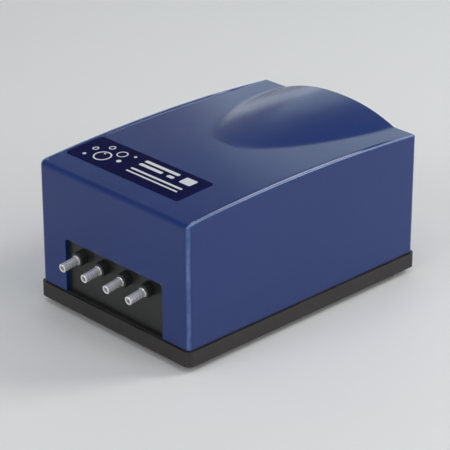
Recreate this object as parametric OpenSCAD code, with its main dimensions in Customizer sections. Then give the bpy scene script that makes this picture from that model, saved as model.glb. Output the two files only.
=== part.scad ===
// Four-outlet aquarium air pump with twin diaphragm heads.
// All coordinates inside the modules are measured from the centre of the
// housing, with z = 0 at the seam between the upper housing and the base tray.
// place() then lifts the pump onto its feet and centres its full length.

/* [Housing] */
// Width of the upper housing
body_w = 120; // [118:1:124]
// Length of the upper housing, front to back
body_l = 177; // [175:1:180]
// Height of the four deck corners above the seam
housing_h = 72.5; // [70:0.5:78]
// How far the deck arches above its front and rear edges
deck_rise = 3.5; // [2:0.5:6]
// Wall thickness of the upper housing
wall = 2.6; // [2:0.1:2.8]
// Radius of the four upright edges
corner_r = 3; // [2:0.5:5]
// Chamfer along the front edge of the deck
front_chamfer = 3; // [1:0.5:4]

/* [Hump] */
// Height of the hump's rear crest above the seam
hump_top = 80.75; // [79:0.25:84]
// Radius of the hump seen from behind
hump_arch_r = 116; // [105:1:130]
// Radius of the hump's ridge line seen from the side
hump_ridge_r = 862; // [700:10:1000]

/* [Base and feet] */
// Height of the visible base band
base_h = 9.5; // [8.5:0.5:11]
// How far the base stands proud of the housing on every side
base_proud = 1.2; // [0.6:0.2:2]
// Thickness of the base floor
floor_t = 3; // [2.6:0.2:3.4]
// Height of the rubber feet under the base
foot_h = 3.5; // [2.5:0.5:5]
// Radius of a rubber foot
foot_r = 7; // [5:0.5:7.5]

/* [Outlets] */
// Distance between neighbouring outlet nozzles
nozzle_pitch = 18; // [16:0.5:19]
// Outer radius of an outlet nozzle
nozzle_r = 2.5; // [2.3:0.05:2.8]
// Radius of the bore through a nozzle
nozzle_bore_r = 1.5; // [1:0.1:1.8]
// Downward tilt of the nozzles in degrees
nozzle_tilt = 8; // [4:1:10]
// How far the nozzle tips stand in front of the housing
nozzle_reach = 13.5; // [11:0.5:18]
// Half width of the outlet opening in the front wall
outlet_half_w = 39.5; // [37:0.5:41]
// Height of the outlet opening above the seam
outlet_h = 32; // [30:0.5:36]

/* [Cord gland] */
// Radius of the cord passage
cord_r = 3.1; // [2.6:0.1:3.5]
// Sideways place of the cord gland on the rear wall
gland_x = -34; // [-40:1:-24]

/* [Motor] */
// Thickness of a swing arm
arm_t = 3; // [2.4:0.2:3.2]
// Running clearance between pivot pins and bushes
run_gap = 0.05; // [0.02:0.01:0.1]

/* [Hidden] */
$fn = 64;

front_y = -body_l / 2;
rear_y = body_l / 2;
seam_z = base_h + foot_h;
gland_out = 3;
// The nozzles reach further forward than the gland reaches back, so the
// housing sits a little behind the middle of the whole length.
y_off = (nozzle_reach - gland_out) / 2;

deck_r = body_l * body_l / 8 / deck_rise + deck_rise / 2;
deck_cz = housing_h + deck_rise - deck_r;

gasket_t = 0.6;
floor_top = -base_h + floor_t;

boss_x = 51.2;
boss_y = 62;
foot_x = 51;
foot_y = 75;

panel_front = front_y + wall;
panel_t = 2.5;
panel_back = panel_front + panel_t;
nozzle_z = 25.2;
nozzle_l = (panel_back - front_y + nozzle_reach - (nozzle_r - 0.4) * sin(nozzle_tilt)) / cos(nozzle_tilt);
nozzle_x = [-1.5, -0.5, 0.5, 1.5] * nozzle_pitch;
collar_l = panel_t + wall + 2.6;
// Inside its collar a nozzle is thicker, and the hose stops against that step
nozzle_seat_r = nozzle_r + 0.3;
nozzle_step = collar_l + 0.4;

tube_in = 3;
tube_out = 4.3;
tube_sides = 16;

unit_z = 32;
chassis_bottom = 3;
chassis_top = 5.5;
mount_pts = [[-40, -44], [40, -44], [-40, 68], [40, 68]];
core_pts = [[-26, 34], [26, 34], [-26, 63], [26, 63]];

arm_x = 15;
pivot_y = -33.5;
magnet_back = 28;
pin_r = 1.5;
bush_r = 3;

head_in = 26;
head_out = 38;
gasket_out = 39;
cover_out = 42;
manifold_out = 51;
head_half = 20;
screw_c = 16.5;
head_barb_x = 46.5;
head_barb_dz = 9;
head_barb_end = -22;

filter_y = 26;
filter_w = 50;
filter_l = 34;

module place() translate([0, y_off, seam_z]) children();

// Exact rounded rectangle, centred
module rrect(w, l, r) {
  square([w - 2 * r, l], center = true);
  square([w, l - 2 * r], center = true);
  for (x = [-1, 1], y = [-1, 1]) translate([x * (w / 2 - r), y * (l / 2 - r)]) circle(r = r);
}

// A plate in the plane across the X axis, from x = a to x = b, centred on the heads
module head_plate(a, b, w, r) {
  translate([a, 0, unit_z]) rotate([90, 0, 90]) linear_extrude(b - a) rrect(w, w, r);
}

// A round bar along X from x = a to x = b
module x_bar(a, b, y, z, r) {
  translate([a, y, z]) rotate([0, 90, 0]) cylinder(r = r, h = b - a);
}

// A round bar along Y from y = a to y = b
module y_bar(x, a, b, z, r) {
  translate([x, a, z]) rotate([-90, 0, 0]) cylinder(r = r, h = b - a);
}

// The space under the arched deck, pulled in by a wall thickness
module under_deck(inset) {
  translate([0, 0, deck_cz]) rotate([0, 90, 0]) cylinder(r = deck_r - inset, h = body_w + 20, center = true, $fn = 256);
}

// The crowned hump on the rear of the deck: part of a very large ring
module hump(inset, back) {
  intersection() {
    translate([-50, -14, 62]) cube([100, back + 14, 24]);
    translate([0, rear_y, hump_top - hump_ridge_r]) rotate([0, 90, 0])
      rotate_extrude($fn = 256) translate([hump_ridge_r - hump_arch_r, 0]) circle(r = hump_arch_r - inset, $fn = 200);
  }
}

module housing_outer() {
  intersection() {
    linear_extrude(housing_h + deck_rise + 4) rrect(body_w, body_l, corner_r);
    under_deck(0);
  }
  hump(0, rear_y);
}

module housing_inner() {
  intersection() {
    translate([0, 0, -1]) linear_extrude(housing_h + deck_rise + 4) rrect(body_w - 2 * wall, body_l - 2 * wall, corner_r - 1.4);
    under_deck(wall);
  }
  hump(wall, rear_y - wall);
}

module upper_housing() color("royalblue") place() {
  difference() {
    union() {
      difference() {
        housing_outer();
        housing_inner();
      }
      for (x = [-1, 1], y = [-1, 1]) intersection() {
        union() {
          translate([x * boss_x, y * boss_y, floor_top]) cylinder(r = 3.8, h = housing_h + 20);
          translate([x * (boss_x + 4.4) - 2.6, y * boss_y - 1, 3.5]) cube([5.2, 2, housing_h]);
        }
        under_deck(1);
      }
    }
    // pilot holes for the housing screws
    for (x = [-1, 1], y = [-1, 1]) translate([x * boss_x, y * boss_y, floor_top - 1]) cylinder(r = 1.35, h = 14);
    // outlet opening, open at the seam
    translate([-outlet_half_w, front_y - 5, -1]) cube([2 * outlet_half_w, wall + 10, outlet_h + 1]);
    // chamfer on the front edge of the deck
    translate([0, front_y, housing_h]) rotate([45, 0, 0])
      cube([body_w + 10, front_chamfer * sqrt(2), front_chamfer * sqrt(2)], center = true);
    // hole for the cord gland
    y_bar(gland_x, rear_y - 5, rear_y + 5, 15, 4.5);
  }
}

module base_tray() color([0.17, 0.14, 0.13]) place() {
  ow = body_w + 2 * base_proud;
  ol = body_l + 2 * base_proud;
  lw = body_w - 2 * wall - 0.5;
  ll = body_l - 2 * wall - 0.5;
  difference() {
    union() {
      difference() {
        translate([0, 0, -base_h]) linear_extrude(base_h - gasket_t) rrect(ow, ol, corner_r + 0.8);
        translate([0, 0, floor_top]) linear_extrude(base_h) rrect(ow - 5.2, ol - 5.2, corner_r);
      }
      // locating lip that stands inside the housing wall
      difference() {
        translate([0, 0, floor_top - 0.5]) linear_extrude(3 - floor_top + 0.5) rrect(lw, ll, 2);
        translate([0, 0, floor_top - 2]) linear_extrude(20) rrect(lw - 3.6, ll - 3.6, 1.5);
        translate([-outlet_half_w - 4.5, front_y, floor_top]) cube([2 * outlet_half_w + 9, 14, 20]);
      }
      // posts under the vibration mounts
      for (p = mount_pts) translate([p[0], p[1], floor_top - 0.5]) cylinder(r = 6, h = -floor_top + 0.5);
      // filter chamber
      translate([0, filter_y, floor_top - 0.5]) linear_extrude(-floor_top + 0.5) rrect(filter_w + 5, filter_l + 5, 3);
    }
    // pocket of the filter chamber and its air holes
    translate([0, filter_y, -base_h - 1]) linear_extrude(base_h - 1) rrect(filter_w, filter_l, 2);
    for (i = [-2:2], j = [-1:1]) translate([i * 9, filter_y + j * 9, -5]) cylinder(r = 2.2, h = 10);
    // finger notch beside the intake cover
    translate([0, filter_y - filter_l / 2, -base_h - 1]) cylinder(r = 8, h = 2.4);
    // screw holes, foot holes and post pilots
    for (x = [-1, 1], y = [-1, 1]) {
      translate([x * boss_x, y * boss_y, -base_h - 1]) cylinder(r = 1.6, h = 10);
      translate([x * boss_x, y * boss_y, -base_h - 1]) cylinder(r = 3.3, h = 2.8);
      translate([x * foot_x, y * foot_y, -base_h - 1]) cylinder(r = 3, h = 10);
    }
    for (p = mount_pts) translate([p[0], p[1], floor_top + 1]) cylinder(r = 1.35, h = 20);
  }
}

module housing_gasket() color([0.08, 0.08, 0.08]) place()
  translate([0, 0, -gasket_t]) linear_extrude(gasket_t) difference() {
    rrect(body_w - 0.4, body_l - 0.4, corner_r - 0.2);
    rrect(body_w - 2 * wall + 0.2, body_l - 2 * wall + 0.2, 1.6);
  }

module housing_screws() color("silver") place()
  for (x = [-1, 1], y = [-1, 1]) translate([x * boss_x, y * boss_y, -base_h]) {
    difference() {
      translate([0, 0, 0.1]) cylinder(r = 3, h = 1.7);
      for (a = [0, 90]) rotate([0, 0, a]) translate([-2, -0.35, -1]) cube([4, 0.7, 2]);
    }
    translate([0, 0, 1.7]) cylinder(r = 1.3, h = 11);
  }

module outlet_panel() color([0.07, 0.07, 0.07]) place() difference() {
  union() {
    translate([-outlet_half_w - 3, panel_front, 0]) cube([2 * outlet_half_w + 6, panel_t, outlet_h + 3]);
    for (x = nozzle_x) intersection() {
      translate([x, panel_back, nozzle_z]) rotate([90 + nozzle_tilt, 0, 0]) cylinder(r = 4.2, h = collar_l);
      translate([x - 6, front_y - 20, 0]) cube([12, panel_back - front_y + 20, outlet_h]);
    }
  }
  for (x = nozzle_x) translate([x, panel_back, nozzle_z]) rotate([90 + nozzle_tilt, 0, 0])
    translate([0, 0, -3]) cylinder(r = nozzle_seat_r + 0.05, h = 20);
}

// Nozzle: tilted outside, level inside, where the air tube is pushed on
module nozzle(i) color("silver") place() translate([nozzle_x[i], panel_back, nozzle_z]) difference() {
  union() {
    rotate([90 + nozzle_tilt, 0, 0]) rotate_extrude()
      polygon([[0, -0.6], [nozzle_seat_r, -0.6], [nozzle_seat_r, nozzle_step], [nozzle_r, nozzle_step], [nozzle_r, nozzle_l - 0.4], [nozzle_r - 0.4, nozzle_l], [0, nozzle_l]]);
    rotate([-90, 0, 0]) rotate_extrude()
      polygon([[0, 0], [5, 0], [5, 1.6], [2.3, 1.6], [2.3, 4], [2.85, 4], [2.35, 6.5], [2.3, 7.5], [2.85, 7.5], [2.35, 10], [2.2, 11], [0, 11]]);
  }
  rotate([90 + nozzle_tilt, 0, 0]) translate([0, 0, -0.6]) cylinder(r = nozzle_bore_r, h = nozzle_l + 2);
  rotate([-90, 0, 0]) translate([0, 0, -0.4]) cylinder(r = nozzle_bore_r + 0.4, h = 2.2);
  rotate([-90, 0, 0]) translate([0, 0, 1.2]) cylinder(r = nozzle_bore_r, h = 12);
}

module name_label() color([0.08, 0.08, 0.35]) place() difference() {
  intersection() {
    translate([-12, -58.5, housing_h - 5]) linear_extrude(20) rrect(92, 27, 1.5);
    under_deck(-0.35);
  }
  under_deck(0);
}

module foot(x, y) color([0.1, 0.1, 0.1]) place() translate([x * foot_x, y * foot_y, -base_h]) {
  translate([0, 0, -foot_h]) cylinder(r1 = foot_r - 0.8, r2 = foot_r, h = foot_h);
  translate([0, 0, -1]) cylinder(r = 2.95, h = floor_t + 1);
  translate([0, 0, floor_t]) cylinder(r1 = 3.5, r2 = 2.4, h = 1.3);
}

module intake_cover() color([0.12, 0.1, 0.1]) place() translate([0, filter_y, -base_h]) difference() {
  linear_extrude(4) rrect(filter_w - 0.3, filter_l - 0.3, 1.9);
  translate([0, 0, 2]) linear_extrude(4) rrect(filter_w - 4, filter_l - 4, 1);
  for (i = [-4:4]) translate([i * 5 - 1.2, -11, -1]) cube([2.4, 22, 6]);
}

module intake_felt() color([0.85, 0.85, 0.8]) place() translate([0, filter_y, -base_h + 2])
  linear_extrude(4) rrect(filter_w - 4.6, filter_l - 4.6, 1);

module cord_gland() color([0.1, 0.1, 0.1]) place() translate([gland_x, rear_y, 15]) rotate([-90, 0, 0]) rotate_extrude()
  polygon([[cord_r, -wall - 1.5], [6, -wall - 1.5], [6, -wall], [4.5, -wall], [4.5, 0], [6.5, 0], [6.5, 1.2], [5.2, gland_out], [cord_r, gland_out]]);

module chassis_plate() color([0.62, 0.63, 0.65]) place() difference() {
  translate([0, 12, chassis_bottom]) linear_extrude(chassis_top - chassis_bottom) rrect(92, 124, 4);
  for (p = mount_pts) translate([p[0], p[1], 0]) cylinder(r = 1.5, h = 10);
  for (p = core_pts) translate([p[0], p[1], 0]) cylinder(r = 1.75, h = 10);
  for (x = [-1, 1], y = [-1, 1]) translate([x * 32, y * 13, 0]) cylinder(r = 1.5, h = 10);
  for (x = [-1, 1]) translate([x * 14, -26, 0]) cylinder(r = 1.5, h = 10);
  // air passages over the filter chamber and between the heads
  translate([0, 6, 0]) linear_extrude(10) rrect(30, 26, 3);
  translate([0, 44, 0]) linear_extrude(10) rrect(30, 12, 3);
}

module vibration_mounts() color([0.1, 0.1, 0.1]) place()
  for (p = mount_pts) translate([p[0], p[1], 0]) rotate_extrude()
    polygon([[1.5, 0], [6, 0], [6, 0.8], [5.2, 1.5], [6, 2.2], [6, 3], [1.5, 3]]);

module chassis_screws() color("silver") place()
  for (p = mount_pts) translate([p[0], p[1], 0]) {
    translate([0, 0, chassis_top]) difference() {
      cylinder(r = 3.4, h = 2.2);
      for (a = [0, 90]) rotate([0, 0, a]) translate([-2.2, -0.4, 1.1]) cube([4.4, 0.8, 2]);
    }
    translate([0, 0, floor_top + 1.5]) cylinder(r = 1.3, h = chassis_top - floor_top - 1);
  }

module magnet_core() color([0.45, 0.46, 0.48]) place() difference() {
  translate([0, 0, unit_z - 10]) linear_extrude(20) difference() {
    translate([-30, 30]) square([60, 38]);
    for (x = [-1, 1]) translate([x * 15 - 7, 29]) square([14, 29]);
  }
  for (p = core_pts) translate([p[0], p[1], 0]) cylinder(r = 1.75, h = 60);
}

module core_spacers() color([0.7, 0.7, 0.72]) place()
  for (p = core_pts) translate([p[0], p[1], chassis_top]) difference() {
    cylinder(r = 3.8, h = unit_z - 10 - chassis_top);
    translate([0, 0, -1]) cylinder(r = 1.75, h = 30);
  }

module core_screws() color("silver") place()
  for (p = core_pts) translate([p[0], p[1], 0]) {
    translate([0, 0, chassis_bottom]) cylinder(r = 1.7, h = unit_z + 10.5 - chassis_bottom);
    translate([0, 0, unit_z + 10]) difference() {
      cylinder(r = 3.2, h = 2.4);
      translate([0, 0, 1]) cylinder(r = 1.6, h = 3, $fn = 6);
    }
  }

// Rectangular frame across the Y axis, from y = a to y = b, around the centre leg
module leg_frame(a, b, w, h, r, iw, ih) {
  translate([0, b, unit_z]) rotate([90, 0, 0]) linear_extrude(b - a) difference() {
    rrect(w, h, r);
    square([iw, ih], center = true);
  }
}

module coil_bobbin() color([0.9, 0.9, 0.85]) place() {
  leg_frame(33.5, 55.5, 19, 23, 1, 16.2, 20.2);
  leg_frame(32, 33.5, 43, 47, 3, 16.2, 20.2);
  leg_frame(55.5, 57, 43, 47, 3, 16.2, 20.2);
}

module coil_winding() color([0.72, 0.35, 0.15]) place()
  translate([0, 55.5, unit_z]) rotate([90, 0, 0]) linear_extrude(22) difference() {
    rrect(40, 44, 6);
    rrect(19, 23, 1);
  }

module coil_tape() color([0.9, 0.75, 0.2]) place()
  translate([0, 54, unit_z]) rotate([90, 0, 0]) linear_extrude(19) difference() {
    rrect(41, 45, 6.5);
    rrect(40, 44, 6);
  }

// One insulated lead: back from the bobbin, over the core and down behind it
module lead(x) {
  y_bar(x, 57, 72, 50, 0.9);
  translate([x, 72, 44]) rotate([90, 0, 90]) rotate_extrude(angle = 90) translate([6, 0]) circle(r = 0.9);
  translate([x, 78, 24]) cylinder(r = 0.9, h = 20);
}

module coil_leads() color([0.75, 0.1, 0.1]) place() for (x = [-7, 7]) lead(x);

module lead_connectors() color([0.85, 0.85, 0.8]) place()
  for (x = [-7, 7]) translate([x, 78, 10]) {
    difference() {
      cylinder(r = 2.6, h = 14);
      translate([0, 0, -1]) cylinder(r = 1.2, h = 8);
    }
  }

module pivot_bracket() color([0.6, 0.62, 0.64]) place() difference() {
  union() {
    translate([-21, -43, chassis_top]) cube([42, 3.5, unit_z + 11.2 - chassis_top]);
    translate([-21, -43, chassis_top]) cube([42, 22, 2.5]);
    for (z = [unit_z - 11.2, unit_z + 8.2]) translate([-21, -43, z]) cube([42, 15, 3]);
  }
  for (x = [-1, 1]) {
    translate([x * arm_x, pivot_y, 15]) cylinder(r = pin_r, h = 40);
    translate([x * 14, -26, 0]) cylinder(r = 1.5, h = 12);
  }
  // window that lightens the upright
  translate([0, -30, unit_z]) rotate([90, 0, 0]) linear_extrude(20) rrect(18, 9, 2);
}

module pivot_pin(s) color("silver") place() translate([s * arm_x, pivot_y, unit_z - 13]) {
  cylinder(r = pin_r, h = 25);
  translate([0, 0, 24.2]) cylinder(r = 2.4, h = 1.6);
  cylinder(r = 2.2, h = 1.8);
}

module arm(s) color([0.2, 0.2, 0.22]) place() mirror([s < 0 ? 1 : 0, 0, 0]) difference() {
  union() {
    translate([arm_x - arm_t / 2, pivot_y, unit_z - 6]) cube([arm_t, 18 - pivot_y, 12]);
    translate([arm_x, pivot_y, unit_z - 8.1]) cylinder(r = 5, h = 16.2);
    translate([arm_x - 5, 17.5, unit_z - 8]) cube([10, 2.5, 16]);
    x_bar(arm_x - 3, arm_x + arm_t / 2, 0, unit_z, 5);
  }
  translate([arm_x, pivot_y, 0]) cylinder(r = bush_r, h = 60);
  x_bar(0, 40, 0, unit_z, 1.55);
}

module arm_bush(s) color([0.75, 0.6, 0.3]) place() translate([s * arm_x, pivot_y, unit_z - 8.1]) difference() {
  cylinder(r = bush_r, h = 16.2);
  translate([0, 0, -1]) cylinder(r = pin_r + run_gap, h = 20);
}

module arm_magnet(s) color([0.3, 0.3, 0.32]) place()
  translate([s * arm_x - 5, 20, unit_z - 8]) cube([10, magnet_back - 20, 16]);

// Stud that joins the arm to the diaphragm, with a plate on each side of the rubber
module diaphragm_stud(s) color("silver") place() mirror([s < 0 ? 1 : 0, 0, 0]) {
  x_bar(9.5, 12, 0, unit_z, 2.9);
  x_bar(11, 21, 0, unit_z, 1.5);
  x_bar(arm_x + arm_t / 2, 17.5, 0, unit_z, 7);
  x_bar(19.5, 20.5, 0, unit_z, 7);
  x_bar(20.5, 22, 0, unit_z, 2.6);
}

module diaphragm(s) color([0.12, 0.12, 0.12]) place() mirror([s < 0 ? 1 : 0, 0, 0])
  translate([0, 0, unit_z]) rotate([0, 90, 0]) rotate_extrude()
    polygon([[1.55, 17.5], [8, 17.5], [13.2, 22.6], [14.9, 24], [18.5, 24], [18.5, 26], [14.2, 26], [12.2, 24.4], [7.4, 19.5], [1.55, 19.5]]);

module clamp_ring(s) color([0.25, 0.25, 0.27]) place() mirror([s < 0 ? 1 : 0, 0, 0]) difference() {
  head_plate(22, head_in, 2 * head_half, 5);
  x_bar(20, 30, 0, unit_z, 15.2);
  x_bar(24, 30, 0, unit_z, 18.6);
  for (y = [-1, 1], z = [-1, 1]) x_bar(20, 30, y * screw_c, unit_z + z * screw_c, 1.5);
}

module pump_head(s) color([0.85, 0.86, 0.84]) place() mirror([s < 0 ? 1 : 0, 0, 0]) difference() {
  union() {
    difference() {
      head_plate(head_in, head_out, 2 * head_half, 5);
      // pumping chamber, then the outlet pocket above and the inlet pocket below
      x_bar(head_in - 1, 31, 0, unit_z, 14);
      for (z = [2, -16]) translate([34, -13, unit_z + z]) cube([10, 26, 14]);
    }
    // ears that carry the two flaps
    for (y = [-1, 1]) {
      translate([33.5, y * 4 - 0.8, unit_z + 12]) cube([2.6, 1.6, 2.8]);
      translate([28.9, y * 4 - 0.8, unit_z - 4]) cube([2.6, 1.6, 2.8]);
    }
    // legs down to the chassis
    for (y = [-1, 1]) translate([28, y * 13 - 3, chassis_top]) cube([8, 6, unit_z - head_half - chassis_top + 1]);
  }
  // valve ports
  for (z = [-8, 8]) x_bar(30, 35, 0, unit_z + z, 2.6);
  // flap hinge bores
  y_bar(34.9, -6, 6, unit_z + 13.4, 0.8 + run_gap);
  y_bar(30.1, -6, 6, unit_z - 2.6, 0.8 + run_gap);
  // air intakes into the inlet pocket
  for (y = [-7, 0, 7]) translate([36, y, unit_z - head_half - 1]) cylinder(r = 1.6, h = 6);
  for (y = [-1, 1], z = [-1, 1]) x_bar(20, 45, y * screw_c, unit_z + z * screw_c, 1.5);
  for (y = [-1, 1]) translate([32, y * 13, chassis_top - 1]) cylinder(r = 1.35, h = 7);
}

module head_gasket(s) color([0.75, 0.3, 0.2]) place() mirror([s < 0 ? 1 : 0, 0, 0]) difference() {
  head_plate(head_out, gasket_out, 2 * head_half, 5);
  for (z = [2, -16]) translate([34, -13, unit_z + z]) cube([10, 26, 14]);
  for (y = [-1, 1], z = [-1, 1]) x_bar(30, 45, y * screw_c, unit_z + z * screw_c, 1.5);
}

module head_cover(s) color([0.85, 0.86, 0.84]) place() mirror([s < 0 ? 1 : 0, 0, 0]) difference() {
  union() {
    head_plate(gasket_out, cover_out, 2 * head_half, 5);
    translate([cover_out - 0.5, -9, unit_z - 14]) cube([manifold_out - cover_out + 0.5, 18, 28]);
    for (z = [-1, 1]) translate([head_barb_x, 0, unit_z + z * head_barb_dz]) rotate([90, 0, 0]) {
      cylinder(r = 2.3, h = -head_barb_end);
      for (d = [12, 16]) translate([0, 0, d]) cylinder(r1 = 2.85, r2 = 2.3, h = 2.8);
    }
  }
  translate([cover_out, -7, unit_z - 12]) cube([manifold_out - cover_out - 2, 14, 24]);
  x_bar(30, cover_out + 1, 0, unit_z + 8, 3);
  for (z = [-1, 1]) y_bar(head_barb_x, head_barb_end - 1, 0, unit_z + z * head_barb_dz, 1.5);
  for (y = [-1, 1], z = [-1, 1]) x_bar(30, 45, y * screw_c, unit_z + z * screw_c, 1.5);
}

module head_screws() color("silver") place() for (s = [0, 1]) mirror([s, 0, 0])
  for (y = [-1, 1], z = [-1, 1]) {
    x_bar(23, cover_out + 0.5, y * screw_c, unit_z + z * screw_c, 1.4);
    difference() {
      x_bar(cover_out, cover_out + 2.2, y * screw_c, unit_z + z * screw_c, 2.7);
      translate([cover_out + 1.1, y * screw_c - 2, unit_z + z * screw_c - 0.35]) cube([2, 4, 0.7]);
      translate([cover_out + 1.1, y * screw_c - 0.35, unit_z + z * screw_c - 2]) cube([2, 0.7, 4]);
    }
  }

// Screws from under the chassis into the head legs, and the two that hold the pivot bracket
module head_foot_screws() color("silver") place() {
  for (x = [-1, 1], y = [-1, 1]) translate([x * 32, y * 13, 0]) {
    translate([0, 0, chassis_bottom - 1.6]) cylinder(r = 2.7, h = 1.6);
    translate([0, 0, chassis_bottom - 0.5]) cylinder(r = 1.3, h = 8);
  }
  for (x = [-1, 1]) translate([x * 14, -26, 0]) {
    translate([0, 0, chassis_bottom - 1.6]) cylinder(r = 2.7, h = 1.6);
    translate([0, 0, chassis_bottom - 0.5]) cylinder(r = 1.3, h = 5.5);
  }
}

// Rubber flap hung from a bead that turns in two ears; it shuts against the valve wall
module flap(s, bead_x, bead_z, face_x) color([0.55, 0.12, 0.1]) place() mirror([s < 0 ? 1 : 0, 0, 0]) {
  y_bar(bead_x, -4.8, 4.8, unit_z + bead_z, 0.8);
  x_bar(face_x, face_x + 0.8, 0, unit_z + bead_z - 5.4, 4);
  translate([face_x, -2.6, unit_z + bead_z - 4]) cube([0.8, 5.2, 4]);
  translate([min(face_x, bead_x), -2.6, unit_z + bead_z - 0.6]) cube([abs(bead_x - face_x), 5.2, 0.6]);
}

module outlet_flap(s) flap(s, 34.9, 13.4, 34);
module inlet_flap(s) flap(s, 30.1, -2.6, 30.2);

// One ring of points of an air tube in its own plane: u is sideways, v along
// the pump, and the tube heads a degrees away from v towards u
function tube_ring(u, v, a, r) =
  [for (k = [0:tube_sides - 1]) let (t = 360 * k / tube_sides)
    [u + r * cos(t) * cos(a), v - r * cos(t) * sin(a), r * sin(t)]];

// A length of air tube: straight at both ends, with two equal arcs between them
module tube_run(p, q) {
  ya = p[1] + 8.5;
  yb = q[1] - 9;
  dx = q[0] - p[0];
  dz = q[2] - p[2];
  d = sqrt(dx * dx + dz * dz);
  run = yb - ya;
  turn = 2 * atan(d / run);
  bend = run / (2 * sin(turn));
  path = concat(
    [[0, p[1] - ya, 0]],
    [for (k = [0:7]) let (a = turn * k / 7) [bend * (1 - cos(a)), bend * sin(a), a]],
    [for (k = [6:-1:0]) let (a = turn * k / 7) [d - bend * (1 - cos(a)), run - bend * sin(a), a]],
    [[d, run + q[1] - yb, 0]]
  );
  n = len(path);
  m = tube_sides;
  points = concat(
    [for (c = path) each tube_ring(c[0], c[1], c[2], tube_out)],
    [for (c = path) each tube_ring(c[0], c[1], c[2], tube_in)]
  );
  function o(i, k) = i * m + k % m;
  function w(i, k) = n * m + i * m + k % m;
  faces = concat(
    [for (i = [0:n - 2], k = [0:m - 1]) [o(i, k), o(i + 1, k), o(i + 1, k + 1), o(i, k + 1)]],
    [for (i = [0:n - 2], k = [0:m - 1]) [w(i, k), w(i, k + 1), w(i + 1, k + 1), w(i + 1, k)]],
    [for (k = [0:m - 1]) [o(0, k), o(0, k + 1), w(0, k + 1), w(0, k)]],
    [for (k = [0:m - 1]) [o(n - 1, k), w(n - 1, k), w(n - 1, k + 1), o(n - 1, k + 1)]]
  );
  translate([p[0], ya, p[2]]) rotate([0, -atan2(dz, dx), 0]) polyhedron(points = points, faces = faces);
}

module air_tube(i) color([0.75, 0.78, 0.75]) place() {
  s = i < 2 ? -1 : 1;
  outer = i == 0 || i == 3;
  tube_run([nozzle_x[i], panel_back + 2, nozzle_z],
           [s * head_barb_x, -10, unit_z + (outer ? 1 : -1) * head_barb_dz]);
}

upper_housing();
base_tray();
housing_gasket();
housing_screws();
outlet_panel();
nozzle(0);  // outlet_nozzle_1
nozzle(1);  // outlet_nozzle_2
nozzle(2);  // outlet_nozzle_3
nozzle(3);  // outlet_nozzle_4
name_label();
foot(-1, -1);  // foot_front_left
foot(1, -1);  // foot_front_right
foot(-1, 1);  // foot_rear_left
foot(1, 1);  // foot_rear_right
intake_cover();
intake_felt();
cord_gland();
chassis_plate();
vibration_mounts();
chassis_screws();
magnet_core();
core_spacers();
core_screws();
coil_bobbin();
coil_winding();
coil_tape();
coil_leads();
lead_connectors();
pivot_bracket();
pivot_pin(1);  // right_pivot_pin
pivot_pin(-1);  // left_pivot_pin
arm(1);  // right_swing_arm
arm(-1);  // left_swing_arm
arm_bush(1);  // right_arm_bush
arm_bush(-1);  // left_arm_bush
arm_magnet(1);  // right_arm_magnet
arm_magnet(-1);  // left_arm_magnet
diaphragm_stud(1);  // right_diaphragm_stud
diaphragm_stud(-1);  // left_diaphragm_stud
diaphragm(1);  // right_diaphragm
diaphragm(-1);  // left_diaphragm
clamp_ring(1);  // right_clamp_ring
clamp_ring(-1);  // left_clamp_ring
pump_head(1);  // right_pump_head
pump_head(-1);  // left_pump_head
head_gasket(1);  // right_head_gasket
head_gasket(-1);  // left_head_gasket
head_cover(1);  // right_head_cover
head_cover(-1);  // left_head_cover
head_screws();
head_foot_screws();
inlet_flap(1);  // right_inlet_flap
outlet_flap(1);  // right_outlet_flap
inlet_flap(-1);  // left_inlet_flap
outlet_flap(-1);  // left_outlet_flap
air_tube(0);  // air_tube_1
air_tube(1);  // air_tube_2
air_tube(2);  // air_tube_3
air_tube(3);  // air_tube_4
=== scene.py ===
import math

import bmesh
import bpy
import numpy as np
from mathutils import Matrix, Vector


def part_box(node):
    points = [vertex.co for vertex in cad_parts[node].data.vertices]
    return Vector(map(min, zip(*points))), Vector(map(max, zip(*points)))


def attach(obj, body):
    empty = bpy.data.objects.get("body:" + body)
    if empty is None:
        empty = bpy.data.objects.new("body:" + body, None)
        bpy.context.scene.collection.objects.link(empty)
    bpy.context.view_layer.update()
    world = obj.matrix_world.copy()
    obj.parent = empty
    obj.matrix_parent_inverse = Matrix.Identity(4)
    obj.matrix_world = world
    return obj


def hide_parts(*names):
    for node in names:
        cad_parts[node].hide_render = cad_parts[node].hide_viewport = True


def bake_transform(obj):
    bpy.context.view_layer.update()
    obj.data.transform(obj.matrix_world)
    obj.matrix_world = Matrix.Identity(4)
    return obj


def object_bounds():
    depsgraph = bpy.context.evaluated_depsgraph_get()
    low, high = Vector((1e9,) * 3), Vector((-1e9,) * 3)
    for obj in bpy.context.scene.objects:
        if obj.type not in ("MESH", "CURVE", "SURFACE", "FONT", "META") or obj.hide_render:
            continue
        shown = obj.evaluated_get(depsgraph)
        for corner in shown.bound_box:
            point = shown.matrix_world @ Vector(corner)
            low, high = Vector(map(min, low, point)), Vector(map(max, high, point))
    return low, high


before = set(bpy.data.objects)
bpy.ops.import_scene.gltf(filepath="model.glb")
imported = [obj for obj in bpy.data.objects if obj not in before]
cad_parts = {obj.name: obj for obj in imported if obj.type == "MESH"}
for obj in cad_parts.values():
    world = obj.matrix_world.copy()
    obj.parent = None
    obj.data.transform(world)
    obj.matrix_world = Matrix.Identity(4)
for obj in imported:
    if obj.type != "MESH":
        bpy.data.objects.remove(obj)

bpy.context.view_layer.update()
CAD_BOX = [list(v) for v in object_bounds()]
scene = bpy.context.scene
scene.view_settings.view_transform = "Standard"

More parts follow.
